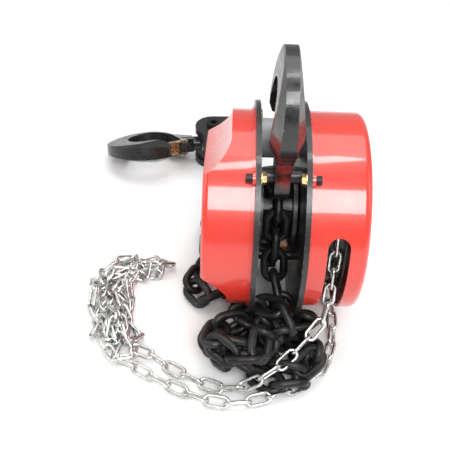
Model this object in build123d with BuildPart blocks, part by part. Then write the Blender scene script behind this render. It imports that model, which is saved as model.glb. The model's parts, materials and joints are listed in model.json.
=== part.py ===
from build123d import *
from math import atan2, cos, pi, radians, sin, sqrt, tan
import os

# A one tonne hand chain hoist that stands on its side plates, with both chains piled beside it.
# X runs along the drive shaft from gear side to hand wheel side, +Z is up.
# The origin is the centre of the top hook's bowl.

# Driving dimensions, in millimetres
shaft_y = 23.5
shaft_z = -98.0
floor_z = -190.0
channel_half = 14.5
plate_thick = 3.5
plate_out = channel_half + plate_thick
plate_radius = 77.0
cover_radius = 70.5
cover_wall = 2.2
gear_cover_step = -34.0
gear_cover_end = -52.0
wheel_cover_end = 58.0
screw_circle = 73.8
screw_radius = 2.5
cover_screw_angles = (128.0, 33.0, 285.0)
stay_spots = ((-36.0, -72.0), (36.0, -72.0))
spacer_spot = (18.0, 48.0)
gear_tilt = -17.5
gear_post_angles = [gear_tilt + a for a in (60.0, 120.0, 240.0, 300.0)]
gear_post_circle = 27.8
pawl_radius = 42.0
pawl_angles = (40.0, 220.0)

# Load chain: round steel 6 mm wire, 18 mm pitch
load_wire = 5.9
load_pitch = 18.0
load_width = 20.0
load_pockets = 4

# Hand chain: 2.6 mm wire, 15 mm pitch
hand_wire = 2.6
hand_pitch = 15.0
hand_width = 9.8
hand_pockets = 12
hand_wheel_x = 38.0

# Top and bottom hook
bowl_radius = 19.0
hook_pin_drop = 53.0
hook_pin_radius = 5.0
tongue_half = 5.0

# Two stage gearing, 12:36 then 12:48, on one centre distance
gear_centres = 30.0
first_module = 1.25
second_module = 1.0
small_teeth = 12
first_teeth = 36
load_teeth = 48
pressure_angle = 25.0
carrier_angles = (gear_tilt, gear_tilt + 180.0)


def chain_seats(pitch, wire, pockets):
    """The pitch radius of a pocket wheel, and the radii its flat and standing links lie at."""
    half_step = pi / 2 / pockets
    radius = sqrt((pitch / sin(half_step)) ** 2 + (wire / cos(half_step)) ** 2) / 2
    flat = sqrt(radius**2 - ((pitch + wire) / 2) ** 2)
    standing = sqrt(radius**2 - ((pitch - wire) / 2) ** 2)
    return radius, flat, standing


load_radius, load_seat, load_standing_seat = chain_seats(load_pitch, load_wire, load_pockets)
hand_radius, hand_seat, hand_standing_seat = chain_seats(hand_pitch, hand_wire, hand_pockets)

os.makedirs("parts", exist_ok=True)


def save(part, name):
    """Labels a finished part and writes it."""
    part.label = name
    export_step(part, f"parts/{name}.step")


def across(x, y=0.0, z=0.0):
    """The plane square to the shaft at x, centred y and z away from the shaft line."""
    return Plane(origin=(x, shaft_y + y, shaft_z + z), x_dir=(0, 1, 0), z_dir=(1, 0, 0))


def around(angle, radius):
    """Y and Z from the shaft line at an angle from +Y towards +Z."""
    return radius * cos(radians(angle)), radius * sin(radians(angle))


def ring(x0, x1, radius, bore=0.0, spot=(0.0, 0.0), mode=Mode.ADD):
    """A disc or ring along X, added to the part being built."""
    with BuildSketch(across(x0, *spot)) as face:
        Circle(radius)
        if bore:
            Circle(bore, mode=Mode.SUBTRACT)
    extrude(face.sketch, amount=x1 - x0, mode=mode)


def hexagon(x0, x1, across_flats, spot=(0.0, 0.0), mode=Mode.ADD):
    """A hexagonal prism along X, added to the part being built."""
    with BuildSketch(across(x0, *spot)) as face:
        RegularPolygon(radius=across_flats / 2, side_count=6, major_radius=False)
    extrude(face.sketch, amount=x1 - x0, mode=mode)


# ---------------------------------------------------------------- frame
def side_plate(side):
    """One steel side plate: a disc with two feet, holes for bearing, pin, stays and cover screws."""
    inner = side * channel_half
    foot_top = -50.0
    foot_half = 36.0
    with BuildPart() as plate:
        with BuildSketch(across(min(inner, side * plate_out))):
            Circle(plate_radius)
            with BuildLine():
                Polyline(
                    (-foot_half - 20, foot_top),
                    (-foot_half, floor_z - shaft_z),
                    (foot_half, floor_z - shaft_z),
                    (foot_half + 20, foot_top),
                    close=True,
                )
            make_face()
            Circle(17.0, mode=Mode.SUBTRACT)
            with Locations((-shaft_y, -hook_pin_drop - shaft_z)):
                Circle(hook_pin_radius, mode=Mode.SUBTRACT)
            with Locations(*[around(a, screw_circle) for a in cover_screw_angles]):
                Circle(screw_radius, mode=Mode.SUBTRACT)
            with Locations(*stay_spots):
                Circle(4.0, mode=Mode.SUBTRACT)
            if side < 0:
                with Locations(*[around(a, gear_centres) for a in carrier_angles]):
                    Circle(5.0, mode=Mode.SUBTRACT)
                with Locations(*[around(a, gear_post_circle) for a in gear_post_angles]):
                    Circle(2.0, mode=Mode.SUBTRACT)
            else:
                with Locations(*[around(a, pawl_radius) for a in pawl_angles]):
                    Circle(3.0, mode=Mode.SUBTRACT)
        extrude(amount=plate_thick)
    return plate.part


save(side_plate(-1), "gear_side_plate")
save(side_plate(1), "wheel_side_plate")

with BuildPart() as hook_pin:
    pin_spot = (-shaft_y, -hook_pin_drop - shaft_z)
    ring(-plate_out, plate_out, hook_pin_radius, spot=pin_spot)
save(hook_pin.part, "top_hook_pin")

with BuildPart() as stays:
    for spot in stay_spots:
        ring(-channel_half, channel_half, 5.0, spot=spot)
        ring(-plate_out - 2.5, plate_out + 2.5, 4.0, spot=spot)
        ring(-plate_out - 4.0, -plate_out, 6.0, spot=spot)
        ring(plate_out, plate_out + 4.0, 6.0, spot=spot)
save(stays.part, "stay_rods")

with BuildPart() as stay_nuts:
    for spot in stay_spots:
        for x0 in (-channel_half, channel_half - 5.0):
            hexagon(x0, x0 + 5.0, 11.5, spot)
            ring(x0, x0 + 5.0, 5.0, spot=spot, mode=Mode.SUBTRACT)
save(stay_nuts.part, "stay_nuts")


with BuildPart() as cover_screws:
    for side in (-1, 1):
        head = side * (plate_out + 2.0)
        tip = side * (channel_half - 3.8)
        end = head + side * 4.2
        for angle in cover_screw_angles:
            spot = around(angle, screw_circle)
            ring(min(tip, head), max(tip, head), screw_radius, spot=spot)
            ring(min(head, end), max(head, end), 2.9, spot=spot)
            hexagon(min(end, end - side * 2.4), max(end, end - side * 2.4), 2.6, spot, Mode.SUBTRACT)
save(cover_screws.part, "cover_screws")

with BuildPart() as cover_nuts:
    for side in (-1, 1):
        face = side * channel_half
        for angle in cover_screw_angles:
            spot = around(angle, screw_circle)
            ring(min(face, face - side * 0.6), max(face, face - side * 0.6), 4.4, screw_radius, spot)
            x0, x1 = sorted((face - side * 0.6, face - side * 3.4))
            hexagon(x0, x1, 7.0, spot)
            ring(x0, x1, screw_radius, spot=spot, mode=Mode.SUBTRACT)
save(cover_nuts.part, "cover_nuts")

with BuildPart() as upper_spacer:
    ring(-channel_half, channel_half, 14.0, spot=spacer_spot)
    fillet(upper_spacer.edges().filter_by(GeomType.CIRCLE), 2.0)
save(upper_spacer.part, "upper_spacer")


# ---------------------------------------------------------------- covers
def ears(face, side):
    """Screw ears and the rim lip of a cover, on the plate's face, added to the part being built."""
    start = min(face, face + side * 2.0)
    ring(start, start + 2.0, cover_radius + 1.6)
    for angle in cover_screw_angles:
        ring(start, start + 2.0, 5.0, spot=around(angle, screw_circle - 0.6))


def gear_shell(radius, wall):
    """The gear cover's body, or its hollow: a drum with a raised band over the gears, whose sides sweep in."""
    step, end = gear_cover_step + wall, gear_cover_end + wall
    with BuildPart() as body:
        ring(end, -plate_out, radius)
        fillet(body.edges().filter_by(GeomType.CIRCLE).sort_by(Axis.X)[0], 4.0)
        for side, half in ((1, band_upper - wall), (-1, band_lower - wall)):
            with BuildSketch(band_plane) as cut:
                with BuildLine():
                    foot, top = (step, side * (half + 19)), (end, side * half)
                    ThreePointArc(foot, (step - 7.6, side * (half + 7.5)), top)
                    Polyline(top, (end - 5, side * (half - 0.5)), (end - 5, side * 90), (step, side * 90), foot)
                make_face()
            extrude(cut.sketch, amount=90, both=True, mode=Mode.SUBTRACT)
    return body.part


band_upper = 41.0
band_lower = 29.0
band_up = (0, -sin(radians(gear_tilt)), cos(radians(gear_tilt)))
band_plane = Plane(
    origin=(0, shaft_y, shaft_z),
    x_dir=(1, 0, 0),
    z_dir=Vector(1, 0, 0).cross(Vector(*band_up)),
)

with BuildPart() as gear_cover:
    add(gear_shell(cover_radius, 0.0))
    ears(-plate_out, -1)
    add(gear_shell(cover_radius - cover_wall, cover_wall), mode=Mode.SUBTRACT)
    for screw_angle in cover_screw_angles:
        screw_spot = around(screw_angle, screw_circle)
        ring(-plate_out - 2.0, -plate_out, screw_radius, spot=screw_spot, mode=Mode.SUBTRACT)
save(gear_cover.part, "gear_cover")

slot_half = 7.4
slot_top = 27.0
with BuildPart() as wheel_cover:
    ring(plate_out, wheel_cover_end, cover_radius)
    fillet(wheel_cover.edges().filter_by(GeomType.CIRCLE).sort_by(Axis.X)[-1], 5.0)
    ring(wheel_cover_end - 3.0, wheel_cover_end + 1.4, 38.0)
    ears(plate_out, 1)
    ring(plate_out, wheel_cover_end - cover_wall, cover_radius - cover_wall, mode=Mode.SUBTRACT)
    for screw_angle in cover_screw_angles:
        screw_spot = around(screw_angle, screw_circle)
        ring(plate_out, plate_out + 2.0, screw_radius, spot=screw_spot, mode=Mode.SUBTRACT)
    with BuildSketch(Plane.XZ.offset(-shaft_y)) as slot:
        with Locations((hand_wheel_x, shaft_z + slot_top - slot_half)):
            Circle(slot_half)
        with Locations((hand_wheel_x, shaft_z + slot_top - slot_half - 45)):
            Rectangle(2 * slot_half, 90)
    extrude(slot.sketch, amount=90, both=True, mode=Mode.SUBTRACT)
save(wheel_cover.part, "wheel_cover")


# ---------------------------------------------------------------- load sheave
sheave_half = 13.4
sheave_radius = 29.0
gear_hub_end = -29.5


def wheel_pockets(x, seat, wire, width, count, depth, length):
    """Cuts a pocket wheel's seats: the floor its links run on, and a shallow pocket for each flat link."""
    half = width / 2 + 0.6
    ring(x - half, x + half, 80.0, seat - wire / 2 - 0.35, mode=Mode.SUBTRACT)
    for pocket_index in range(count):
        with BuildSketch(across(x - half)) as pocket:
            turn = Rotation(0, 0, 360.0 / count * pocket_index)
            with Locations(turn * Pos(seat - wire / 2 - 0.35 - depth + 15, 0)):
                Rectangle(30, length)
        extrude(pocket.sketch, amount=2 * half, mode=Mode.SUBTRACT)


with BuildPart() as sheave:
    ring(-sheave_half, sheave_half, sheave_radius)
    wheel_pockets(0.0, load_seat, load_wire, load_width, load_pockets, 2.6, 22.0)
    ring(-3.9, 3.9, 40.0, 11.55, mode=Mode.SUBTRACT)
    ring(gear_hub_end, 22.0, 11.5)
    ring(gear_hub_end, 22.0, 5.1, mode=Mode.SUBTRACT)
save(sheave.part, "load_sheave")

with BuildPart() as bearings:
    for x_low in (-22.0, channel_half):
        ring(x_low, x_low + 7.5, 17.0, 11.55)
save(bearings.part, "sheave_bearings")

with BuildPart() as bearing_rings:
    for x_low in (-plate_out - 2.5, plate_out):
        ring(x_low, x_low + 2.5, 21.0, 17.05)
save(bearing_rings.part, "bearing_rings")

with BuildPart() as stripper:
    with BuildSketch(Plane.YZ.offset(-3.2)):
        with BuildLine():
            tip_z = shaft_z - 32.0
            Polyline(
                (shaft_y - 5, tip_z),
                (shaft_y + 5, tip_z),
                (shaft_y + 8, shaft_z - 52),
                (shaft_y - 8, shaft_z - 52),
                close=True,
            )
        make_face()
    extrude(amount=6.4)
    ring(-channel_half, channel_half, 4.0, spot=(0.0, -46.0))
save(stripper.part, "chain_stripper")


# ---------------------------------------------------------------- gears
def involute(base, radius):
    """The angle, in radians, that an involute turns through between its base circle and a radius."""
    if radius <= base:
        return 0.0
    slope = sqrt((radius / base) ** 2 - 1)
    return slope - atan2(slope, 1)


def tooth_points(teeth, module, turn):
    """A spur gear's outline, with stub teeth and some backlash, one tooth centred on the turn angle."""
    pitch = teeth * module / 2
    base = pitch * cos(radians(pressure_angle))
    root = pitch - 1.05 * module
    tip = pitch + 0.8 * module
    low = max(base, root + 0.1)
    half = pi / 2 / teeth - 0.06 / pitch + involute(base, pitch)
    radii = [low + (tip - low) * step / 3 for step in range(4)]
    points = []
    for tooth in range(teeth):
        middle = radians(turn) + 2 * pi * tooth / teeth
        flank = [(r, half - involute(base, r)) for r in radii]
        flank = [(root, flank[0][1])] + flank
        points += [(r * cos(middle - a), r * sin(middle - a)) for r, a in flank]
        points += [(r * cos(middle + a), r * sin(middle + a)) for r, a in reversed(flank)]
    return points


def spur(x0, x1, teeth, module, turn, spot=(0.0, 0.0)):
    """A spur gear along X, added to the part being built."""
    with BuildSketch(across(x0, *spot)) as face:
        with BuildLine():
            Polyline(tooth_points(teeth, module, turn), close=True)
        make_face()
    extrude(face.sketch, amount=x1 - x0)


def meshed_turn(angle, teeth):
    """The turn of a gear whose mate, at that angle from it, points a tooth at it: a gap faces the mate."""
    return angle + 180.0 / teeth


load_turn = carrier_angles[0]
with BuildPart() as load_gear:
    spur(gear_hub_end, -22.5, load_teeth, second_module, load_turn)
    ring(gear_hub_end, -22.5, 11.5, mode=Mode.SUBTRACT)
save(load_gear.part, "load_gear")

big_gear_start = -38.0
big_gear_end = -32.0
bracket_start = -43.0
bracket_end = -39.5

for index, angle in enumerate(carrier_angles):
    place = around(angle, gear_centres)
    with BuildPart() as lay_gear:
        spur(-30.0, -22.2, small_teeth, second_module, meshed_turn(angle + 180, small_teeth), place)
        spur(big_gear_start, big_gear_end, first_teeth, first_module, meshed_turn(angle + 180, first_teeth), place)
        ring(bracket_start, -channel_half - 0.1, 4.0, spot=place)
        ring(big_gear_end, -30.0, 6.0, spot=place)
    save(lay_gear.part, f"lay_gear_{'ab'[index]}")

with BuildPart() as lay_bushes:
    for angle in carrier_angles:
        ring(-plate_out, -channel_half, 5.0, 4.05, spot=around(angle, gear_centres))
        ring(bracket_start, bracket_end, 5.5, 4.05, spot=around(angle, gear_centres))
save(lay_bushes.part, "lay_gear_bushes")

with BuildPart() as drive_shaft:
    ring(bracket_start - 2.0, 55.0, 5.0)
    spur(big_gear_start - 0.5, big_gear_end + 0.5, small_teeth, first_module, carrier_angles[0])
    ring(24.0, 27.0, 9.0)
save(drive_shaft.part, "drive_shaft")

with BuildPart() as gear_bracket:
    with BuildSketch(across(bracket_start)):
        with Locations(Rotation(0, 0, gear_tilt)):
            RectangleRounded(80.0, 56.0, 12.0)
        Circle(5.05, mode=Mode.SUBTRACT)
        with Locations(*[around(a, gear_centres) for a in carrier_angles]):
            Circle(5.5, mode=Mode.SUBTRACT)
        with Locations(*[around(a, gear_post_circle) for a in gear_post_angles]):
            Circle(2.0, mode=Mode.SUBTRACT)
    extrude(amount=bracket_end - bracket_start)
save(gear_bracket.part, "gear_bracket")

with BuildPart() as gear_posts:
    for angle in gear_post_angles:
        spot = around(angle, gear_post_circle)
        ring(bracket_end, -plate_out, 2.5, spot=spot)
        ring(bracket_start - 2.0, -channel_half, 2.0, spot=spot)
        hexagon(bracket_start - 2.4, bracket_start, 5.5, spot)
save(gear_posts.part, "gear_posts")

# ---------------------------------------------------------------- brake and hand wheel
brake_bore = 9.3
with BuildPart() as brake_hub:
    ring(24.0, 27.0, 31.0, 9.0)
    ring(27.0, 36.0, 9.0, 5.0)
save(brake_hub.part, "brake_hub")

for name, x_low in (("inner_friction_disc", 27.0), ("outer_friction_disc", 33.5)):
    with BuildPart() as lining:
        ring(x_low, x_low + 2.5, 29.0, brake_bore)
    save(lining.part, name)

ratchet_teeth = 20
ratchet_tip = 36.0
ratchet_root = 32.0
with BuildPart() as ratchet:
    with BuildSketch(across(29.5)):
        with BuildLine():
            saw = []
            for tooth in range(ratchet_teeth):
                lean = 360.0 * tooth / ratchet_teeth + pawl_angles[0]
                saw += [around(lean, ratchet_tip), around(lean + 1.2, ratchet_root)]
            Polyline(saw, close=True)
        make_face()
        Circle(brake_bore, mode=Mode.SUBTRACT)
    extrude(amount=4.0)
save(ratchet.part, "ratchet_disc")

for index, angle in enumerate(pawl_angles):
    pivot = around(angle, pawl_radius)
    with BuildPart() as pawl:
        with BuildSketch(across(29.6)):
            with Locations(pivot):
                Circle(4.2)
            with BuildLine():
                heel = around(angle - 4, pawl_radius + 3.4)
                back = around(angle + 20, ratchet_tip + 4)
                nose = around(angle + 21.8, ratchet_tip - 2.6)
                catch = around(angle + 19.8, ratchet_tip - 2.6)
                corner = around(angle + 19.6, ratchet_tip + 0.7)
                belly = around(angle + 5, ratchet_tip + 1.0)
                Polyline(heel, back, nose, catch, corner, belly, close=True)
            make_face()
            with Locations(pivot):
                Circle(3.05, mode=Mode.SUBTRACT)
        extrude(amount=3.8)
    save(pawl.part, f"pawl_{'ab'[index]}")

with BuildPart() as pawl_pins:
    for angle in pawl_angles:
        spot = around(angle, pawl_radius)
        ring(channel_half, 34.2, 3.0, spot=spot)
        ring(plate_out, 29.0, 4.2, spot=spot)
        ring(34.0, 35.2, 4.0, spot=spot)
save(pawl_pins.part, "pawl_pins")

with BuildPart() as pawl_springs:
    for angle in pawl_angles:
        spot = around(angle, pawl_radius)
        for turn in range(4):
            ring(21.0 + 1.6 * turn, 22.0 + 1.6 * turn, 5.6, 4.4, spot)
save(pawl_springs.part, "pawl_springs")

wheel_rim = 60.7
with BuildPart() as hand_wheel:
    ring(hand_wheel_x - 6.8, hand_wheel_x + 6.8, wheel_rim, 47.5)
    ring(hand_wheel_x + 2.2, hand_wheel_x + 5.2, 48.0)
    ring(36.0, 48.0, 13.0)
    wheel_pockets(hand_wheel_x, hand_seat, hand_wire, hand_width, hand_pockets, 1.4, 19.0)
    ring(hand_wheel_x - 1.9, hand_wheel_x + 1.9, 80.0, hand_seat - 5.2, mode=Mode.SUBTRACT)
    for window in range(4):
        ring(36.0, 50.0, 8.0, spot=around(90.0 * window + 45, 30.0), mode=Mode.SUBTRACT)
    ring(36.0, 48.0, 5.0, mode=Mode.SUBTRACT)
save(hand_wheel.part, "hand_wheel")

with BuildPart() as shaft_washer:
    ring(48.0, 49.5, 10.0, 5.0)
save(shaft_washer.part, "shaft_washer")

with BuildPart() as shaft_nut:
    hexagon(49.5, 54.5, 15.0)
    ring(49.5, 54.5, 5.0, mode=Mode.SUBTRACT)
save(shaft_nut.part, "shaft_nut")


# ---------------------------------------------------------------- hooks
hook_depth = 39.0
hook_half = 10.2
eye_radius = 15.5


def hook_outline():
    """The bowl, tip and neck of a hook, crown towards local +X, spine towards local +Y."""
    with BuildSketch() as outline:
        with BuildLine():
            Spline(
                (-42.0, 11.0),
                (-27.0, 24.0),
                (-4.0, 37.0),
                (22.0, 33.0),
                (39.0, 4.0),
                (28.0, -24.0),
                (4.0, -34.0),
                (-14.0, -34.0),
                tangents=((1.0, 0.45), (-1.0, 0.1)),
            )
            ThreePointArc((-14.0, -34.0), (-20.0, -29.0), (-15.0, -23.2))
            Line((-15.0, -23.2), (0.0, -bowl_radius))
            ThreePointArc((0.0, -bowl_radius), (bowl_radius, 0.0), (0.0, bowl_radius))
            Spline(
                (0.0, bowl_radius),
                (-14.0, 14.5),
                (-24.0, 1.5),
                (-33.0, -8.5),
                (-42.0, -10.0),
                tangents=((-1.0, 0.0), (-1.0, 0.0)),
            )
            Line((-42.0, -10.0), (-42.0, 11.0))
        make_face()
    return outline.sketch


def hook_bowl(base):
    """A forged hook's body on a plane: thick inside the bowl, thinning towards its outer edge."""
    with BuildPart() as body:
        face = base.location * hook_outline()
        extrude(face, amount=hook_half + 1, both=True)
        section = Plane(origin=base.origin, x_dir=base.x_dir, z_dir=-base.y_dir)
        with BuildSketch(section) as lens:
            with BuildLine():
                Polyline(
                    (0, -hook_half),
                    (24, -hook_half),
                    (hook_depth + 4, -2.6),
                    (hook_depth + 4, 2.6),
                    (24, hook_half),
                    (0, hook_half),
                    close=True,
                )
            make_face()
        revolve(lens.sketch, axis=Axis(base.origin, base.z_dir), revolution_arc=360, mode=Mode.INTERSECT)
        with BuildSketch(section) as wedge:
            with BuildLine():
                Polyline((-50, -11), (-6, -hook_half - 0.2), (19, -7.6), (45, -3.8))
                mirror(about=Plane.XZ)
                Line((-50, -11), (-50, 11))
                Line((45, -3.8), (45, 3.8))
            make_face()
        extrude(wedge.sketch, amount=60, both=True, mode=Mode.INTERSECT)
    return body.part


def cylinder_along(plane, start, end, radius, bore=0.0, mode=Mode.ADD):
    """A cylinder or ring along a plane's normal, added to the part being built."""
    with BuildSketch(plane.offset(start)) as face:
        Circle(radius)
        if bore:
            Circle(bore, mode=Mode.SUBTRACT)
    extrude(face.sketch, amount=end - start, mode=mode)


def on_hook(base, along, aside):
    """The hook's plane moved to a point in it."""
    return Plane(origin=base.from_local_coords(Vector(along, aside, 0)), x_dir=base.x_dir, z_dir=base.z_dir)


latch_along = -33.0
latch_aside = -14.0
latch_pin_radius = 1.8


def latch_lug(base):
    """The lug on a hook's neck that its latch pin goes through, added to the part being built."""
    lug = on_hook(base, latch_along, latch_aside)
    cylinder_along(lug, -4.4, 4.4, 4.2)
    with BuildSketch(on_hook(base, latch_along - 1, latch_aside + 6)) as web:
        Rectangle(9.0, 12.0)
    extrude(web.sketch, amount=4.4, both=True)
    cylinder_along(lug, -8, 8, latch_pin_radius + 0.05, mode=Mode.SUBTRACT)


def latch(base):
    """A pressed sheet latch: a tongue that closes the throat and two cheeks on the pin."""
    pivot = on_hook(base, latch_along, latch_aside)
    thick = 1.3
    with BuildPart() as sheet:
        for x0 in (-6.3, 5.0):
            with BuildSketch(pivot.offset(x0)) as cheek:
                Circle(4.4)
                with BuildLine():
                    Polyline((-2.5, -4.0), (14.0, -6.6), (20.0, -5.6), (3.5, 3.4), (-2.5, 3.5), close=True)
                make_face()
                Circle(latch_pin_radius + 0.05, mode=Mode.SUBTRACT)
            extrude(cheek.sketch, amount=thick)
        with BuildSketch(pivot) as tongue:
            with BuildLine():
                Polyline((4.8, -5.1), (24.3, -6.9), (24.5, -5.6), (4.8, -3.8), close=True)
            make_face()
        extrude(tongue.sketch, amount=6.3, both=True)
    return sheet.part


def latch_spring(base):
    """The latch's torsion spring: a few turns round the pin, in one group."""
    pivot = on_hook(base, latch_along, latch_aside)
    with BuildPart() as coils:
        cylinder_along(pivot, 4.45, 4.9, 3.2, latch_pin_radius + 0.1)
        cylinder_along(pivot, -4.9, -4.45, 3.2, latch_pin_radius + 0.1)
    return coils.part


def latch_pin(base):
    """The rivet that a latch turns on."""
    pivot = on_hook(base, latch_along, latch_aside)
    with BuildPart() as rivet:
        cylinder_along(pivot, -7.4, 7.4, latch_pin_radius)
        cylinder_along(pivot, 6.5, 7.6, 3.0)
        cylinder_along(pivot, -7.6, -6.5, 3.0)
    return rivet.part


top_base = Plane(origin=(0, 0, 0), x_dir=(0, 0, 1), z_dir=(1, 0, 0))
with BuildPart() as top_hook:
    add(hook_bowl(top_base))
    with BuildSketch(top_base) as tongue:
        with Locations((-hook_pin_drop, 0)):
            Circle(eye_radius)
        with BuildLine():
            Polyline((-50, -12.5), (-33, -9.0), (-24, 1.5), (-14, 14.5), (-14, 26), (-30, 21), (-50, 13.5), close=True)
        make_face()
    extrude(tongue.sketch, amount=tongue_half, both=True)
    latch_lug(top_base)
    cylinder_along(on_hook(top_base, -hook_pin_drop, 0), -20, 20, hook_pin_radius + 0.08, mode=Mode.SUBTRACT)
save(top_hook.part, "top_hook")
save(latch(top_base), "top_hook_latch")
save(latch_pin(top_base), "top_latch_pin")
save(latch_spring(top_base), "top_latch_spring")

# The bottom block lies on the floor behind the gear cover, its hook turned so that the spine is down
block_x = -51.0
block_y = 217.0
block_half = 19.0
block_heading = 190.5
hook_lean = 22.0
block_middle = floor_z + block_half
neck_reach = 64.0

block_base = Plane(
    origin=(block_x, block_y, block_middle),
    x_dir=(cos(radians(block_heading)), sin(radians(block_heading)), 0),
    z_dir=(0, 0, 1),
)
hook_x = block_base.x_dir
spine_dir = -block_base.y_dir * cos(radians(hook_lean)) - Vector(0, 0, 1) * sin(radians(hook_lean))
bottom_base = Plane(
    origin=block_base.from_local_coords(Vector(neck_reach, 0, 0)),
    x_dir=hook_x,
    z_dir=hook_x.cross(spine_dir),
)
shank_plane = Plane(origin=bottom_base.origin, z_dir=-hook_x)
shank_radius = 7.0

with BuildPart() as bottom_hook:
    add(hook_bowl(bottom_base))
    cylinder_along(shank_plane, 30.0, neck_reach - 5.5, shank_radius)
    with BuildSketch(bottom_base) as neck:
        with BuildLine():
            Polyline((-44, -7.5), (-33, -9.0), (-24, 1.5), (-14, 14.5), (-14, 26), (-30, 21), (-44, 8.5), close=True)
        make_face()
    extrude(neck.sketch, amount=6.4, both=True)
    latch_lug(bottom_base)
save(bottom_hook.part, "bottom_hook")
save(latch(bottom_base), "bottom_hook_latch")
save(latch_pin(bottom_base), "bottom_latch_pin")
save(latch_spring(bottom_base), "bottom_latch_spring")

with BuildPart() as shank_collar:
    cylinder_along(shank_plane, neck_reach - 12.0, neck_reach - 5.5, 10.0, shank_radius)
save(shank_collar.part, "shank_collar")

chain_pin_back = -30.0


def block_half_shell(side):
    """One forged half of the bottom block: a wide cheek over a narrower body."""
    low, high = sorted((side * 0.15, side * (block_half - 4)))
    plate_low, plate_high = sorted((side * (block_half - 6), side * block_half))
    with BuildPart() as shell:
        for start, end, waist in ((low, high, 2.5), (plate_low, plate_high, 0.0)):
            with BuildSketch(block_base.offset(start)) as face:
                Circle(17.5 - waist)
                with Locations((chain_pin_back, 0)):
                    Circle(13.5 - waist)
                make_hull()
            extrude(face.sketch, amount=end - start)
        cylinder_along(shank_plane, neck_reach - 30.0, neck_reach - 8.0, shank_radius + 0.1, mode=Mode.SUBTRACT)
        cylinder_along(shank_plane, neck_reach - 12.1, neck_reach - 5.4, 10.1, mode=Mode.SUBTRACT)
        for along in (0.0, chain_pin_back):
            cylinder_along(on_hook(block_base, along, 0), -30, 30, 4.0, mode=Mode.SUBTRACT)
        with BuildSketch(block_base) as chain_slot:
            with Locations((chain_pin_back - 6, 0)):
                Rectangle(30, 40)
        extrude(chain_slot.sketch, amount=4.0, both=True, mode=Mode.SUBTRACT)
    return shell.part


save(block_half_shell(1), "block_upper_half")
save(block_half_shell(-1), "block_lower_half")

with BuildPart() as block_bolt:
    middle = on_hook(block_base, 0, 0)
    cylinder_along(middle, -block_half + 3.0, block_half + 3.6, 4.0)
    cylinder_along(middle, block_half, block_half + 4.2, 6.6)
    with BuildSketch(middle.offset(block_half + 4.2)) as socket:
        RegularPolygon(radius=3.0, side_count=6, major_radius=False)
    extrude(socket.sketch, amount=-3.0, mode=Mode.SUBTRACT)
save(block_bolt.part, "block_bolt")

with BuildPart() as block_chain_pin:
    cylinder_along(on_hook(block_base, chain_pin_back, 0), -block_half + 0.5, block_half, 4.0)
save(block_chain_pin.part, "block_chain_pin")

with BuildPart() as chain_anchor:
    with BuildSketch(Plane.XY.offset(floor_z + 2.0)) as lug:
        with Locations((-plate_out - 6.0, shaft_y - 20.0)):
            Rectangle(12.0, 12.0)
    extrude(lug.sketch, amount=18.0)
    fillet(chain_anchor.edges().filter_by(Axis.Y).group_by(Axis.X)[0], 3.0)
save(chain_anchor.part, "chain_anchor")


# ---------------------------------------------------------------- chain links on the wheels
def link_blank(pitch, wire, width):
    """One welded link, its long axis along local X, lying in local XY."""
    end = (width - wire) / 2
    reach = pitch / 2 + wire / 2 - end + 0.04
    with BuildPart() as blank:
        with BuildLine() as path:
            first = Line((-reach, end), (reach, end))
            bend = ThreePointArc(first @ 1, (reach + end, 0), (reach, -end))
            second = Line(bend @ 1, (-reach, -end))
            ThreePointArc(second @ 1, (-reach - end, 0), (-reach, end))
        with BuildSketch(Plane(origin=(-reach, end, 0), z_dir=(1, 0, 0))):
            Circle(wire / 2)
        sweep(path=path.wires()[0])
    return blank.part


def place_link(blank, x, y, z, along, normal):
    """Adds a link to the part being built, centred from the shaft line."""
    place = Plane(origin=(x, shaft_y + y, shaft_z + z), x_dir=along, z_dir=normal)
    add(place.location * blank)


def wheel_links(blank, x, seat, angles, standing):
    """Links round a wheel, lying flat in its pockets or standing between them."""
    for angle in angles:
        y, z = around(angle, seat)
        along = (0, -sin(radians(angle)), cos(radians(angle)))
        out = (0, cos(radians(angle)), sin(radians(angle)))
        place_link(blank, x, y, z, along, (1, 0, 0) if standing else out)


def hanging_links(blank, x, seat, pitch):
    """The first free standing link on each side of a wheel."""
    for y in (-seat, seat):
        place_link(blank, x, y, -pitch, (0, 0, 1), (1, 0, 0))


load_step = 180.0 / load_pockets
hand_step = 180.0 / hand_pockets
load_blank = link_blank(load_pitch, load_wire, load_width)
hand_blank = link_blank(hand_pitch, hand_wire, hand_width)

with BuildPart() as load_flat:
    wheel_links(load_blank, 0, load_seat, (0, 90, 180), False)
save(load_flat.part, "load_chain_flat_links")

with BuildPart() as load_standing:
    wheel_links(load_blank, 0, load_standing_seat, (load_step, 3 * load_step), True)
    hanging_links(load_blank, 0, load_seat, load_pitch)
save(load_standing.part, "load_chain_standing_links")

with BuildPart() as hand_flat:
    wheel_links(hand_blank, hand_wheel_x, hand_seat, [2 * hand_step * k for k in range(7)], False)
save(hand_flat.part, "hand_chain_flat_links")

with BuildPart() as hand_standing:
    standing_angles = [hand_step * (2 * k + 1) for k in range(6)]
    wheel_links(hand_blank, hand_wheel_x, hand_standing_seat, standing_angles, True)
    hanging_links(hand_blank, hand_wheel_x, hand_seat, hand_pitch)
save(hand_standing.part, "hand_chain_standing_links")


# ---------------------------------------------------------------- free chain
def from_shaft(points):
    """Points given from the shaft line, in the part's frame."""
    return [Vector(x, shaft_y + y, shaft_z + z) for x, y, z in points]


def bend_radii(points):
    """The largest tangent arc at each inner point: 0.45 of the shorter run over the half turn's tangent."""
    radii = []
    for before, here, after in zip(points, points[1:], points[2:]):
        first, second = here - before, after - here
        turn = first.get_angle(second)
        radii.append(0.45 * min(first.length, second.length) / tan(radians(turn) / 2))
    return radii


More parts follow.
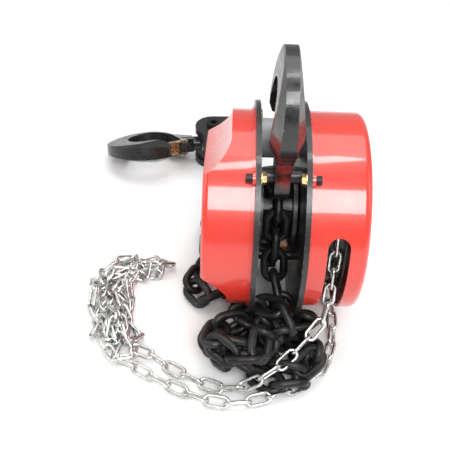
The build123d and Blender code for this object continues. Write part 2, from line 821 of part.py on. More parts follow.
def chain_run(points, radius, name):
    """A plain tube along one uncoiled stretch of chain."""
    stops = from_shaft(points)
    radii = bend_radii(stops)
    with BuildPart() as tube:
        with BuildLine() as path:
            FilletPolyline(*stops, radius=radii)
        with BuildSketch(Plane(origin=stops[0], z_dir=stops[1] - stops[0])):
            Circle(radius)
        sweep(path=path.wires()[0])
    length = path.wires()[0].length
    share = tube.part.volume / (pi * radius**2 * length)
    print(name, "length", round(length, 1), "volume share", round(share, 4), "radii", [round(r) for r in radii])
    save(tube.part, name)


def chain_pile(lobes, name):
    """The closed outer shape of a pile of chain on the floor: lobes of (line of centres, radius, height)."""
    with BuildPart() as pile:
        for centres, radius, height in lobes:
            stops = [(x, shaft_y + y) for x, y in centres]
            with BuildPart(mode=Mode.PRIVATE) as lobe:
                with BuildSketch(Plane.XY.offset(floor_z)) as base:
                    for start, end in zip(stops, stops[1:]):
                        middle = ((start[0] + end[0]) / 2, (start[1] + end[1]) / 2)
                        SlotCenterPoint(center=middle, point=end, height=2 * radius)
                extrude(base.sketch, amount=height * 0.55)
                extrude(lobe.faces().sort_by(Axis.Z)[-1], amount=height * 0.45, taper=38)
            add(lobe.part)
    save(pile.part, name)


def chain_hank(line, width, height, name):
    """The closed outer shape of a hank of chain on the floor, along its line of centres."""
    stops = [Vector(x, shaft_y + y, floor_z + height / 2) for x, y in line]
    with BuildPart() as hank:
        with BuildLine() as path:
            FilletPolyline(*stops, radius=bend_radii(stops))
        with BuildSketch(Plane(origin=stops[0], x_dir=(0, 0, 1), z_dir=stops[1] - stops[0])):
            RectangleRounded(height, width, 8.0)
        sweep(path=path.wires()[0])
    save(hank.part, name)


floor_drop = floor_z - shaft_z
load_lie = floor_drop + 9.5
hand_lie = floor_drop + 5.0
load_front_route = [(0, -load_seat, -36.5), (1, -25, -45), (4, -35, -53), (7, -47, -58)]
load_back_route = [(0, load_seat, -37), (0, 27, -47), (-2, 41, -54), (-5, 56, -57)]
load_tail_route = [
    (-31, 64, load_lie),
    (-38, 48, load_lie),
    (-39, 30, load_lie),
    (-37, 16, load_lie),
    (-36, 3, load_lie),
    (-38, -7, load_lie),
    (-43, -14.5, load_lie),
    (-51.5, -17.2, load_lie),
    (-60, -14.5, load_lie),
    (-65, -7.4, load_lie),
    (-65.5, 4, load_lie),
    (-63, 20, load_lie),
    (-60, 44, load_lie),
    (-62, 68, load_lie),
    (-56, 94, load_lie),
    (-40, 118, load_lie + 1),
    (-21, 138, load_lie + 4),
    (-14, 160, load_lie + 8),
    (-17, 180, load_lie + 9.5),
]
hand_front_route = [
    (hand_wheel_x, -hand_seat, -25.3),
    (38, -58, -41),
    (34, -65, -54),
    (21, -76, -61),
    (7, -91, -68),
    (-11, -99, -77),
    (-30, -101, hand_lie),
    (-56, -91, hand_lie),
    (-83, -74, hand_lie),
]
hand_back_route = [
    (hand_wheel_x, hand_seat, -25.3),
    (38, 59, -44),
    (40, 61, -66),
    (44, 50, -83),
    (47, 28, hand_lie),
    (47, 4, hand_lie),
    (49, -18, hand_lie),
    (48, -42, hand_lie),
    (43, -66, hand_lie),
    (33, -85, hand_lie),
    (14, -97, hand_lie),
    (-9, -107, hand_lie),
    (-34, -112, hand_lie),
    (-61, -103, hand_lie),
    (-91, -86, hand_lie),
]
chain_run(load_front_route, 7.0, "load_chain_front_run")
chain_run(load_back_route, 7.0, "load_chain_back_run")
chain_run(load_tail_route, 9.0, "load_chain_tail_run")
chain_run(hand_front_route, 4.6, "hand_chain_front_run")
chain_run(hand_back_route, 4.6, "hand_chain_back_run")
front_lobes = [([(-25, -69), (-9, -68)], 20.0, 38.0), ([(16, -64), (19, -64)], 14.0, 22.0)]
back_lobes = [([(-6, 88), (16, 96)], 30.0, 34.0)]
hank_line = [(-86, 17), (-107, 23), (-121, 10), (-125, -12), (-121, -38), (-112, -60), (-94, -68)]
chain_pile(front_lobes, "load_chain_front_pile")
chain_pile(back_lobes, "load_chain_back_pile")
chain_hank(hank_line, 26.0, 28.0, "hand_chain_hank")
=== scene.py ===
"""A hand chain hoist on a pale studio floor: materials for its CAD parts, and its chains as real links."""

import json
import math
import random

import bpy
import numpy as np
from mathutils import Matrix, Vector


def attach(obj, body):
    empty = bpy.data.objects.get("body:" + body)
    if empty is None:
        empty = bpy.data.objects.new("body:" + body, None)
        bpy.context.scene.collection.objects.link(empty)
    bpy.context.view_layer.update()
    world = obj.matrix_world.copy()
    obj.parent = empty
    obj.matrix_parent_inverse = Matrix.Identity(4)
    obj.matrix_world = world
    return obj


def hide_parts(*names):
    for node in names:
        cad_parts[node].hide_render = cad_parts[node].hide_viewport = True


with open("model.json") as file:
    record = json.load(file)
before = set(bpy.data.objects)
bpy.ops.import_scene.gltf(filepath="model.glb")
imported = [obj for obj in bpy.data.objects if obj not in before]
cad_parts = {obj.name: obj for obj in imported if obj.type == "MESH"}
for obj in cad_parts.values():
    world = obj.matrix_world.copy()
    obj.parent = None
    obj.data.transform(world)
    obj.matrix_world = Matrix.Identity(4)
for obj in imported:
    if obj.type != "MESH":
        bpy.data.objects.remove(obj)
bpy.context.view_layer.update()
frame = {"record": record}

MM = 0.001
FLOOR_Z = -0.190
SHAFT = Vector((0.0, 0.0235, -0.098))


# ---------------------------------------------------------------- materials
class Finish:
    """A procedural material under construction: its node tree and its main shader."""

    def __init__(self, name, color, roughness, metallic=0.0, coat=0.0, specular=0.5):
        self.material = bpy.data.materials.new(name)
        self.material.use_nodes = True
        self.nodes = self.material.node_tree.nodes
        self.links = self.material.node_tree.links
        self.shader = self.nodes["Principled BSDF"]
        self.shader.inputs["Base Color"].default_value = (*color, 1)
        self.shader.inputs["Roughness"].default_value = roughness
        self.shader.inputs["Metallic"].default_value = metallic
        self.shader.inputs["Coat Weight"].default_value = coat
        self.shader.inputs["Coat Roughness"].default_value = 0.06
        self.shader.inputs["Specular IOR Level"].default_value = specular
        self.place = self.nodes.new("ShaderNodeTexCoord").outputs["Object"]

    def noise(self, scale, detail=3.0, roughness=0.55, stretch=None):
        """A noise value over the surface, at a scale in waves per metre."""
        noise = self.nodes.new("ShaderNodeTexNoise")
        noise.inputs["Scale"].default_value = scale
        noise.inputs["Detail"].default_value = detail
        noise.inputs["Roughness"].default_value = roughness
        place = self.place
        if stretch:
            mapping = self.nodes.new("ShaderNodeMapping")
            mapping.inputs["Scale"].default_value = stretch
            self.links.new(place, mapping.inputs["Vector"])
            place = mapping.outputs["Vector"]
        self.links.new(place, noise.inputs["Vector"])
        return noise.outputs["Fac"]

    def ramp(self, value, low, high, low_to=0.0, high_to=1.0):
        """A value stretched between two levels and held outside them."""
        spread = self.nodes.new("ShaderNodeMapRange")
        spread.inputs["From Min"].default_value = low
        spread.inputs["From Max"].default_value = high
        spread.inputs["To Min"].default_value = low_to
        spread.inputs["To Max"].default_value = high_to
        self.links.new(value, spread.inputs["Value"])
        return spread.outputs["Result"]

    def multiply(self, a, b):
        """The product of two values."""
        node = self.nodes.new("ShaderNodeMath")
        node.operation = "MULTIPLY"
        self.links.new(a, node.inputs[0])
        self.links.new(b, node.inputs[1])
        return node.outputs[0]

    def tint(self, factor, first, second):
        """A colour that goes from the first to the second by a factor; either may be a colour socket."""
        mix = self.nodes.new("ShaderNodeMix")
        mix.data_type = "RGBA"
        self.links.new(factor, mix.inputs["Factor"])
        for socket, value in (("A", first), ("B", second)):
            target = next(s for s in mix.inputs if s.name == socket and s.type == "RGBA")
            if isinstance(value, tuple):
                target.default_value = (*value, 1)
            else:
                self.links.new(value, target)
        return next(s for s in mix.outputs if s.type == "RGBA")

    def set(self, socket, value):
        """Drives one of the shader's sockets."""
        self.links.new(value, self.shader.inputs[socket])

    def bump(self, height, depth, strength=1.0):
        """Relief of a depth in metres."""
        node = self.nodes.new("ShaderNodeBump")
        node.inputs["Strength"].default_value = strength
        node.inputs["Distance"].default_value = depth
        self.links.new(height, node.inputs["Height"])
        self.links.new(node.outputs["Normal"], self.shader.inputs["Normal"])

    def edges(self, width):
        """One along sharp edges and nought elsewhere, from the bevelled normal."""
        bevel = self.nodes.new("ShaderNodeBevel")
        bevel.inputs["Radius"].default_value = width
        bevel.samples = 4
        geometry = self.nodes.new("ShaderNodeNewGeometry")
        dot = self.nodes.new("ShaderNodeVectorMath")
        dot.operation = "DOT_PRODUCT"
        self.links.new(bevel.outputs["Normal"], dot.inputs[0])
        self.links.new(geometry.outputs["Normal"], dot.inputs[1])
        return self.ramp(dot.outputs["Value"], 0.995, 0.9)

    def along(self, axis):
        """Where a point lies along one axis, in metres."""
        split = self.nodes.new("ShaderNodeSeparateXYZ")
        self.links.new(self.place, split.inputs["Vector"])
        return split.outputs[axis]


def red_enamel():
    finish = Finish("red_enamel", (0.68, 0.036, 0.02), 0.3, coat=0.75)
    shade = finish.ramp(finish.noise(14, 4), 0.35, 0.7)
    red = finish.tint(shade, (0.70, 0.040, 0.022), (0.63, 0.029, 0.017))
    chips = finish.multiply(finish.edges(0.0007), finish.ramp(finish.noise(900, 5), 0.6, 0.66))
    finish.set("Base Color", finish.tint(chips, red, (0.28, 0.02, 0.016)))
    finish.set("Roughness", finish.ramp(finish.noise(60, 4), 0.3, 0.75, 0.26, 0.4))
    finish.bump(finish.noise(420, 2), 0.00003)
    return finish.material


def black_enamel():
    finish = Finish("black_enamel", (0.013, 0.013, 0.014), 0.38, coat=0.2)
    worn = finish.multiply(finish.edges(0.0009), finish.ramp(finish.noise(520, 6, 0.7), 0.56, 0.62))
    spots = finish.ramp(finish.noise(330, 6, 0.75), 0.755, 0.775)
    base = finish.tint(worn, (0.013, 0.013, 0.014), (0.36, 0.34, 0.32))
    finish.set("Base Color", finish.tint(spots, base, (0.3, 0.28, 0.26)))
    finish.set("Roughness", finish.ramp(finish.noise(90, 4), 0.3, 0.7, 0.3, 0.5))
    finish.bump(finish.noise(500, 3), 0.00004)
    return finish.material


def forged_black(red_from=None, red_to=None):
    """Black enamel over forging scale, with red overspray between two heights if they are given."""
    finish = Finish("forged_black", (0.009, 0.009, 0.0095), 0.3, coat=0.3)
    blush = finish.ramp(finish.noise(70, 5), 0.5, 0.85)
    base = finish.tint(blush, (0.008, 0.008, 0.0085), (0.028, 0.026, 0.025))
    worn = finish.multiply(finish.edges(0.0012), finish.ramp(finish.noise(260, 6, 0.7), 0.55, 0.68))
    base = finish.tint(worn, base, (0.2, 0.19, 0.18))
    if red_from is not None:
        height = finish.along("Z")
        above = finish.ramp(height, red_to, red_from)
        below = finish.ramp(height, red_from - 0.028, red_from - 0.014)
        patchy = finish.ramp(finish.noise(95, 5, 0.65), 0.42, 0.6)
        base = finish.tint(finish.multiply(finish.multiply(above, below), patchy), base, (0.3, 0.018, 0.012))
    finish.set("Base Color", base)
    finish.set("Roughness", finish.ramp(finish.noise(140, 5), 0.3, 0.7, 0.22, 0.42))
    finish.bump(finish.noise(110, 6, 0.6), 0.0006, 0.5)
    return finish.material


def black_oxide():
    finish = Finish("black_oxide", (0.014, 0.014, 0.015), 0.36, metallic=0.4)
    finish.set("Roughness", finish.ramp(finish.noise(400, 3), 0.3, 0.7, 0.3, 0.48))
    finish.bump(finish.noise(1500, 2), 0.00003)
    return finish.material


def brass(name, color, deep):
    finish = Finish(name, color, 0.26, metallic=1.0)
    finish.set("Base Color", finish.tint(finish.ramp(finish.noise(160, 4), 0.35, 0.7), color, deep))
    finish.set("Roughness", finish.ramp(finish.noise(300, 4), 0.3, 0.75, 0.2, 0.4))
    finish.bump(finish.noise(1400, 2), 0.00003)
    return finish.material


def machined_steel():
    finish = Finish("machined_steel", (0.5, 0.5, 0.51), 0.3, metallic=1.0)
    stain = finish.ramp(finish.noise(120, 4), 0.3, 0.75)
    finish.set("Base Color", finish.tint(stain, (0.5, 0.5, 0.51), (0.27, 0.265, 0.26)))
    finish.set("Roughness", finish.ramp(finish.noise(220, 5), 0.3, 0.7, 0.22, 0.46))
    finish.bump(finish.noise(700, 2, stretch=(5, 1, 1)), 0.00003)
    return finish.material


def dark_steel():
    finish = Finish("dark_steel", (0.05, 0.05, 0.05), 0.36, metallic=0.8)
    stain = finish.ramp(finish.noise(110, 5), 0.35, 0.75)
    finish.set("Base Color", finish.tint(stain, (0.035, 0.035, 0.035), (0.1, 0.097, 0.094)))
    finish.set("Roughness", finish.ramp(finish.noise(240, 4), 0.3, 0.7, 0.28, 0.5))
    finish.bump(finish.noise(800, 3), 0.00004)
    return finish.material


def pale_grey():
    finish = Finish("pale_grey", (0.42, 0.43, 0.44), 0.42)
    dust = finish.ramp(finish.noise(90, 5), 0.3, 0.8)
    finish.set("Base Color", finish.tint(dust, (0.45, 0.46, 0.47), (0.3, 0.3, 0.31)))
    finish.bump(finish.noise(260, 4), 0.0001)
    return finish.material


def lining():
    finish = Finish("lining", (0.1, 0.07, 0.05), 0.85)
    grain = finish.ramp(finish.noise(900, 3), 0.4, 0.6)
    finish.set("Base Color", finish.tint(grain, (0.1, 0.07, 0.05), (0.2, 0.15, 0.1)))
    finish.bump(finish.noise(1600, 3), 0.0001)
    return finish.material


def chain_black():
    finish = Finish("chain_black", (0.02, 0.02, 0.021), 0.36, metallic=0.55)
    patch = finish.ramp(finish.noise(60, 5), 0.4, 0.75)
    base = finish.tint(patch, (0.016, 0.016, 0.017), (0.05, 0.048, 0.046))
    rubbed = finish.ramp(finish.noise(150, 6, 0.7), 0.64, 0.76)
    finish.set("Base Color", finish.tint(rubbed, base, (0.13, 0.125, 0.12)))
    finish.set("Roughness", finish.ramp(finish.noise(180, 4), 0.3, 0.7, 0.28, 0.5))
    finish.bump(finish.noise(700, 4), 0.00008)
    return finish.material


def bright_zinc():
    finish = Finish("bright_zinc", (0.76, 0.77, 0.75), 0.26, metallic=1.0)
    dull = finish.ramp(finish.noise(90, 5), 0.35, 0.75)
    finish.set("Base Color", finish.tint(dull, (0.82, 0.83, 0.81), (0.45, 0.45, 0.44)))
    finish.set("Roughness", finish.ramp(finish.noise(350, 4), 0.3, 0.7, 0.2, 0.38))
    finish.bump(finish.noise(900, 3), 0.00003)
    return finish.material


finishes = {
    "cover_red": red_enamel(),
    "plate_black": black_enamel(),
    "hook_black": forged_black(),
    "screw_black": black_oxide(),
    "nut_brass": brass("nut_brass", (0.66, 0.5, 0.24), (0.5, 0.27, 0.13)),
    "latch_gold": brass("latch_gold", (0.66, 0.52, 0.26), (0.52, 0.38, 0.17)),
    "machined_steel": machined_steel(),
    "dark_steel": dark_steel(),
    "spacer_grey": pale_grey(),
    "friction_lining": lining(),
    "load_chain_steel": chain_black(),
    "hand_chain_zinc": bright_zinc(),
}


def dress(node, material):
    """Gives a CAD node one material in place of its own."""
    slots = bpy.data.objects[node].data.materials
    slots.clear()
    slots.append(material)


OVERSPRAY_LOW, OVERSPRAY_HIGH = -0.030, -0.012
for part in frame["record"]["subparts"]:
    dress(part["node"], finishes[part["material_slot"]])
dress("top_hook", forged_black(OVERSPRAY_LOW, OVERSPRAY_HIGH))
dress("stay_nuts", brass("copper_nut", (0.6, 0.34, 0.22), (0.42, 0.2, 0.13)))


# ---------------------------------------------------------------- chains
class Chain:
    """One kind of round link chain, in metres."""

    def __init__(self, name, wire, pitch, width, rings, sides):
        self.name, self.wire, self.pitch, self.width = name, wire, pitch, width
        self.rings, self.sides = rings, sides

    def link(self):
        """One link's points and faces: a stadium tube along X, lying in XY, with a weld on one side."""
        end = (self.width - self.wire) / 2
        reach = self.pitch / 2 + self.wire / 2 - end
        straight, bend = 2 * reach, math.pi * end
        total = 2 * (straight + bend)
        points = []
        for ring in range(self.rings):
            along = total * ring / self.rings
            if along < straight:
                centre, out = Vector((along - reach, -end, 0)), Vector((0, -1, 0))
            elif along < straight + bend:
                turn = (along - straight) / end - math.pi / 2
                out = Vector((math.cos(turn), math.sin(turn), 0))
                centre = Vector((reach, 0, 0)) + end * out
            elif along < 2 * straight + bend:
                centre, out = Vector((reach - (along - straight - bend), end, 0)), Vector((0, 1, 0))
            else:
                turn = (along - 2 * straight - bend) / end + math.pi / 2
                out = Vector((math.cos(turn), math.sin(turn), 0))
                centre = Vector((-reach, 0, 0)) + end * out
            weld = math.exp(-(((centre.x) / (0.22 * self.wire)) ** 2)) if centre.y < 0 else 0.0
            radius = self.wire / 2 * (1 + 0.09 * weld)
            for side in range(self.sides):
                angle = 2 * math.pi * side / self.sides
                points.append(centre + radius * (math.cos(angle) * out + Vector((0, 0, math.sin(angle)))))
        faces = []
        for ring in range(self.rings):
            after = (ring + 1) % self.rings
            for side in range(self.sides):
                beside = (side + 1) % self.sides
                faces.append(
                    (
                        ring * self.sides + side,
                        after * self.sides + side,
                        after * self.sides + beside,
                        ring * self.sides + beside,
                    )
                )
        return np.array(points), np.array(faces)


load_chain = Chain("load", 0.0059, 0.018, 0.020, 28, 10)
hand_chain = Chain("hand", 0.0026, 0.015, 0.0098, 24, 7)


def from_shaft(points):
    """Points given from the shaft line in millimetres, in the part's frame."""
    return [SHAFT + Vector(p) * MM for p in points]


def smooth_line(name, points):
    """The points of a smooth curve that has the given ones as its control points."""
    curve = bpy.data.curves.new(name, "CURVE")
    curve.dimensions = "3D"
    curve.resolution_u = 8
    spline = curve.splines.new("NURBS")
    spline.points.add(len(points) - 1)
    for spot, point in zip(spline.points, points):
        spot.co = (*point, 1)
    spline.order_u = 3
    spline.use_endpoint_u = True
    holder = bpy.data.objects.new(name, curve)
    bpy.context.scene.collection.objects.link(holder)
    bpy.context.view_layer.update()
    mesh = bpy.data.meshes.new_from_object(holder.evaluated_get(bpy.context.evaluated_depsgraph_get()))
    line = [v.co.copy() for v in mesh.vertices]
    bpy.data.objects.remove(holder)
    return line


def joints_along(line, pitch):
    """The points where links meet: each one pitch from the last, in a straight line."""
    joints = [line[0]]
    for start, end in zip(line, line[1:]):
        while (end - joints[-1]).length >= pitch:
            low, high = 0.0, 1.0
            for _ in range(24):
                middle = (low + high) / 2
                if (start.lerp(end, middle) - joints[-1]).length < pitch:
                    low = middle
                else:
                    high = middle
            joints.append(start.lerp(end, high))
    return joints


LINK_LEAN = math.radians(45)
LEAN_SPREAD = 0.22


def chain_piece(name, chain, joints, across, settle_links, seed):
    """A mesh of links between joints, from one whose width lies across to ones that lean by LINK_LEAN."""
    blank, faces = chain.link()
    chance = random.Random(seed)
    points, all_faces = [], []
    width = Vector(across)
    for index, (start, end) in enumerate(zip(joints, joints[1:])):
        run = (end - start).normalized()
        width = (width - width.dot(run) * run).normalized()
        ease = min(1.0, index / settle_links)
        lean = LINK_LEAN * ease + chance.uniform(-LEAN_SPREAD, LEAN_SPREAD) * ease
        turn = Matrix.Rotation(lean + (math.pi / 2 if index % 2 else 0.0), 3, run)
        side = turn @ width
        place = np.array((run, side, run.cross(side)))
        centre = np.array((start + end) / 2)
        all_faces.append(faces + len(points) * len(blank))
        points.append(blank @ place + centre)
    mesh = bpy.data.meshes.new(name)
    mesh.from_pydata(np.concatenate(points).tolist(), [], np.concatenate(all_faces).tolist())
    mesh.shade_smooth()
    piece = bpy.data.objects.new(name, mesh)
    bpy.context.scene.collection.objects.link(piece)
    return piece


def settle(beads, spacing, size, region, keep_off, rounds=260):
    """Lets a string of beads fall into a pile: its two ends stay, and its beads keep apart."""
    beads = np.array(beads, float)
    first, last = beads[0].copy(), beads[-1].copy()
    count = len(beads)
    apart = np.abs(np.subtract.outer(np.arange(count), np.arange(count))) > 1
    for step in range(rounds):
        beads[:, 2] -= 0.0006 * (1 - step / rounds)
        for _ in range(3):
            gap = beads[1:] - beads[:-1]
            long = np.linalg.norm(gap, axis=1, keepdims=True) + 1e-9
            push = gap * (1 - spacing / long) * 0.5
            beads[:-1] += 0.6 * push
            beads[1:] -= 0.6 * push
            gap = beads[2:] - beads[:-2]
            long = np.linalg.norm(gap, axis=1, keepdims=True) + 1e-9
            push = gap * np.minimum(0, 1 - 1.45 * spacing / long) * 0.5
            beads[:-2] += 0.5 * push
            beads[2:] -= 0.5 * push
            between = beads[:, None] - beads[None]
            near = np.linalg.norm(between, axis=2) + 1e-9
            close = apart & (near < size)
            push = np.where(close[..., None], between * ((size - near) / near)[..., None], 0).sum(axis=1)
            beads += 0.3 * push
            for spot, clear in keep_off:
                away = beads - spot
                far = np.linalg.norm(away, axis=1, keepdims=True) + 1e-9
                beads += np.where(far < clear, away * (clear - far) / far, 0)
            beads = region(beads)
            beads[0], beads[-1] = first, last
    return [Vector(b) for b in beads]


def pile_region(centre, half, low, high):
    """Keeps beads inside an upright oval drum."""

    def keep(beads):
        flat = (beads[:, :2] - centre) / half
        far = np.linalg.norm(flat, axis=1, keepdims=True)
        beads[:, :2] = centre + flat / np.maximum(far, 1) * half
        beads[:, 2] = np.clip(beads[:, 2], low, high)
        return beads

    return keep


def wound(centre, half, turns, count, top, bottom, seed):
    """A loose string of beads that winds round an oval, from a height down to the floor."""
    chance = random.Random(seed)
    beads = []
    for index in range(count):
        share = index / (count - 1)
        angle = 2 * math.pi * turns * share + chance.uniform(-0.5, 0.5)
        reach = 0.55 + 0.4 * math.sin(5.3 * share * turns) + chance.uniform(-0.15, 0.15)
        beads.append(
            (
                centre[0] + half[0] * reach * math.cos(angle),
                centre[1] + half[1] * reach * math.sin(angle),
                top + (bottom - top) * share,
            )
        )
    return beads


LOAD_LIE = -92 + 9.5
HAND_LIE = -92 + 5.0
LOAD_SEAT = 20.51
HAND_SEAT = 56.8
HAND_X = 38.0
load_front_route = from_shaft(
    [(0, -LOAD_SEAT, -27), (0, -LOAD_SEAT, -37), (1, -25, -45), (4, -35, -53), (7, -47, -58)]
)
load_back_route = from_shaft(
    [(0, LOAD_SEAT, -27), (0, LOAD_SEAT, -38), (0, 27, -47), (-2, 41, -54), (-5, 56, -57)]
)
load_tail_route = from_shaft(
    [
        (-31, 64, LOAD_LIE),
        (-31.5, 50, LOAD_LIE),
        (-31, 36, LOAD_LIE),
        (-30.2, 22, LOAD_LIE),
        (-30.8, 8, LOAD_LIE),
        (-35, -5, LOAD_LIE),
        (-43, -13.5, LOAD_LIE),
        (-53, -15.5, LOAD_LIE),
        (-61.5, -9, LOAD_LIE),
        (-62, 2, LOAD_LIE),
        (-56.5, 12, LOAD_LIE),
        (-51, 24, LOAD_LIE),
        (-50, 42, LOAD_LIE),
        (-51, 66, LOAD_LIE),
        (-48, 94, LOAD_LIE),
        (-40, 118, LOAD_LIE + 1),
        (-21, 138, LOAD_LIE + 4),
        (-14, 160, LOAD_LIE + 8),
        (-17, 180, LOAD_LIE + 9.5),
    ]
)
hand_front_route = from_shaft(
    [
        (HAND_X, -HAND_SEAT, -22.5),
        (38, -58, -41),
        (34, -65, -54),
        (21, -76, -61),
        (7, -91, -68),
        (-11, -99, -77),
        (-30, -101, HAND_LIE),
        (-56, -91, HAND_LIE),
        (-83, -74, HAND_LIE),
    ]
)
hand_back_route = from_shaft(
    [
        (HAND_X, HAND_SEAT, -22.5),
        (38, 59, -44),
        (40, 61, -66),
        (44, 50, -83),
        (47, 28, HAND_LIE),
        (47, 4, HAND_LIE),
        (49, -18, HAND_LIE),
        (48, -42, HAND_LIE),
        (43, -66, HAND_LIE),
        (33, -85, HAND_LIE),
        (14, -97, HAND_LIE),
        (-9, -107, HAND_LIE),
        (-34, -112, HAND_LIE),
        (-61, -103, HAND_LIE),
        (-91, -86, HAND_LIE),
    ]
)
hank_line = from_shaft(
    [
        (-86, 17, 0),
        (-107, 23, 0),
        (-121, 10, 0),
        (-125, -12, 0),
        (-121, -38, 0),
        (-112, -60, 0),
        (-94, -68, 0),
    ]
)
anchor_spot = from_shaft([(-25, -27, -80)])[0]

# The slack load chain: down into the pile in front, and back to its anchor under the gear cover
LOAD_BEAD, HAND_BEAD = 0.0150, 0.0080
STRAND_CLEAR = 0.0145
FRONT_PILE_TOP, BACK_PILE_TOP = FLOOR_Z + 0.046, FLOOR_Z + 0.040
load_low = FLOOR_Z + 0.0085
strand = [(np.array(p), STRAND_CLEAR) for p in smooth_line("strand", hand_front_route)]
front_centre, front_half = np.array((0.0, SHAFT.y - 0.071)), np.array((0.049, 0.028))
front_string = wound(front_centre, front_half, 4.2, 54, load_front_route[-1].z, load_low, 5)
front_string = [load_front_route[-1], *front_string, anchor_spot]
front_region = pile_region(front_centre, front_half, load_low, FRONT_PILE_TOP)
front_beads = settle(front_string, load_chain.pitch, LOAD_BEAD, front_region, strand)
slack_line = smooth_line("slack", [*load_front_route[:-1], *front_beads])

# The load chain: down into the pile behind, then under the gear cover to the bottom block
back_centre, back_half = np.array((0.005, SHAFT.y + 0.092)), np.array((0.036, 0.026))
back_string = wound(back_centre, back_half, 4.6, 52, load_back_route[-1].z, load_low, 11)
back_string = [load_back_route[-1], *back_string, load_tail_route[0]]
back_region = pile_region(back_centre, back_half, load_low, BACK_PILE_TOP)
back_beads = settle(back_string, load_chain.pitch, LOAD_BEAD, back_region, [])
lift_line = smooth_line("lift", [*load_back_route[:-1], *back_beads, *load_tail_route[1:]])

# The hand chain: one loop from the wheel's front to its back, its length thrown together in a hank
HANK_HALF = 0.017
HANK_RUNS = 10
HANK_LOW, HANK_TOP = FLOOR_Z + 0.0045, FLOOR_Z + 0.031
HANK_JITTER = 0.004
hank_core = smooth_line("hank", hank_line)


def hank_region(beads):
    """Keeps beads inside the hank: near its line of centres, and between the floor and its top."""
    line = np.array(hank_core)[:, :2]
    between = beads[:, None, :2] - line[None]
    far = np.linalg.norm(between, axis=2)
    nearest = far.argmin(axis=1)
    rows = np.arange(len(beads))
    out = between[rows, nearest]
    reach = np.maximum(far[rows, nearest] / HANK_HALF, 1)[:, None]
    beads[:, :2] = line[nearest] + out / reach
    beads[:, 2] = np.clip(beads[:, 2], HANK_LOW, HANK_TOP)
    return beads


def thrown_hank(core_line, runs, seed):
    """A string of beads thrown to and fro along the hank's line of centres."""
    chance = random.Random(seed)
    beads = []
    for run in range(runs):
        near_end, far_end = chance.uniform(0.0, 0.2), chance.uniform(0.8, 1.0)
        steps = int(11 * (far_end - near_end) / 0.8)
        lateral = chance.uniform(-0.010, 0.010)
        for step in range(steps):
            share = far_end + (near_end - far_end) * step / steps
            if run % 2:
                share = near_end + (far_end - near_end) * step / steps
            core = core_line[int(share * (len(core_line) - 1))]
            beads.append(
                (
                    core.x + lateral + chance.uniform(-HANK_JITTER, HANK_JITTER),
                    core.y + chance.uniform(-HANK_JITTER, HANK_JITTER),
                    FLOOR_Z + 0.006 + 0.026 * chance.random(),
                )
            )
    return beads


hank_string = [hand_front_route[-1], *thrown_hank(hank_core, HANK_RUNS, 3), hand_back_route[-1]]
hank_beads = settle(hank_string, hand_chain.pitch, HAND_BEAD, hank_region, [])
loop_line = smooth_line("loop", [*hand_front_route[:-1], *hank_beads, *reversed(hand_back_route[:-1])])

ACROSS_SHAFT = (1, 0, 0)
slack_solids = ("load_chain_front_run", "load_chain_front_pile")
load_solids = ("load_chain_back_run", "load_chain_back_pile", "load_chain_tail_run")
hand_solids = ("hand_chain_front_run", "hand_chain_hank", "hand_chain_back_run")
cords = (
    ("slack_load_chain", load_chain, slack_line, slack_solids, "load_chain_steel", 7),
    ("load_chain", load_chain, lift_line, load_solids, "load_chain_steel", 7),
    ("hand_chain", hand_chain, loop_line, hand_solids, "hand_chain_zinc", 10),
)
for name, chain, line, solids, slot, settle_links in cords:
    joints = joints_along(line, chain.pitch)
    piece = chain_piece(name, chain, joints, ACROSS_SHAFT, settle_links, 21)
    piece.data.materials.append(finishes[slot])
    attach(piece, "frame")
    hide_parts(*solids)


# ---------------------------------------------------------------- studio
def area_light(name, place, target, size, power):
    """A rectangular lamp at a place, turned towards a target."""
    light = bpy.data.lights.new(name, "AREA")
    light.shape = "RECTANGLE"
    light.size, light.size_y = size
    light.energy = power
    lamp = bpy.data.objects.new(name, light)
    bpy.context.scene.collection.objects.link(lamp)
    lamp.location = place
    lamp.rotation_euler = (Vector(target) - Vector(place)).to_track_quat("-Z", "Y").to_euler()


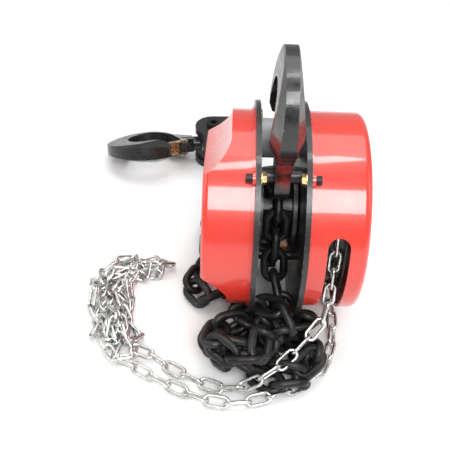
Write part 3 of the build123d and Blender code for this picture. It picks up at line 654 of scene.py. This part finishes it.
FLOOR_HALF = 4.0
floor_corners = [(x * FLOOR_HALF, y * FLOOR_HALF, FLOOR_Z) for x, y in ((-1, -1), (1, -1), (1, 1), (-1, 1))]
floor_mesh = bpy.data.meshes.new("floor")
floor_mesh.from_pydata(floor_corners, [], [(0, 1, 2, 3)])
floor = bpy.data.objects.new("floor", floor_mesh)
bpy.context.scene.collection.objects.link(floor)
paper = Finish("paper", (0.9, 0.9, 0.9), 0.9, specular=0.1)
floor_mesh.materials.append(paper.material)

world = bpy.data.worlds.new("studio")
bpy.context.scene.world = world
world.use_nodes = True
world.node_tree.nodes["Background"].inputs["Color"].default_value = (1, 1, 1, 1)
world.node_tree.nodes["Background"].inputs["Strength"].default_value = 0.42
middle = (0.0, 0.02, -0.1)
area_light("front_box", (0.08, -0.74, 0.69), middle, (0.4, 0.49), 8.5)
area_light("top_strip", (0.06, -0.03, 1.0), middle, (0.5, 0.1), 2.4)
area_light("overhead", (0.0, 0.55, 1.2), middle, (1.4, 0.9), 9.0)
area_light("left_window", (-1.1, -0.1, 0.5), middle, (0.6, 0.9), 3.5)
area_light("right_window", (1.1, -0.2, 0.5), middle, (0.6, 0.9), 2.5)

CAMERA_PLACE = (-0.0365, -0.4175, 0.247)
CAMERA_PITCH, CAMERA_ROLL = math.radians(-39.5), math.radians(2.0)
forward = Vector((0, math.cos(CAMERA_PITCH), math.sin(CAMERA_PITCH)))
right = Vector((1, 0, 0))
up = right.cross(forward)
turned_right = math.cos(CAMERA_ROLL) * right + math.sin(CAMERA_ROLL) * up
turned_up = math.cos(CAMERA_ROLL) * up - math.sin(CAMERA_ROLL) * right
lens = bpy.data.cameras.new("camera")
lens.sensor_width = 36
lens.lens = 61.4
lens.clip_start = 0.01
camera = bpy.data.objects.new("camera", lens)
bpy.context.scene.collection.objects.link(camera)
facing = Matrix((turned_right, turned_up, -forward)).transposed().to_4x4()
camera.matrix_world = Matrix.Translation(CAMERA_PLACE) @ facing
bpy.context.scene.camera = camera
bpy.context.scene.view_settings.view_transform = "Standard"
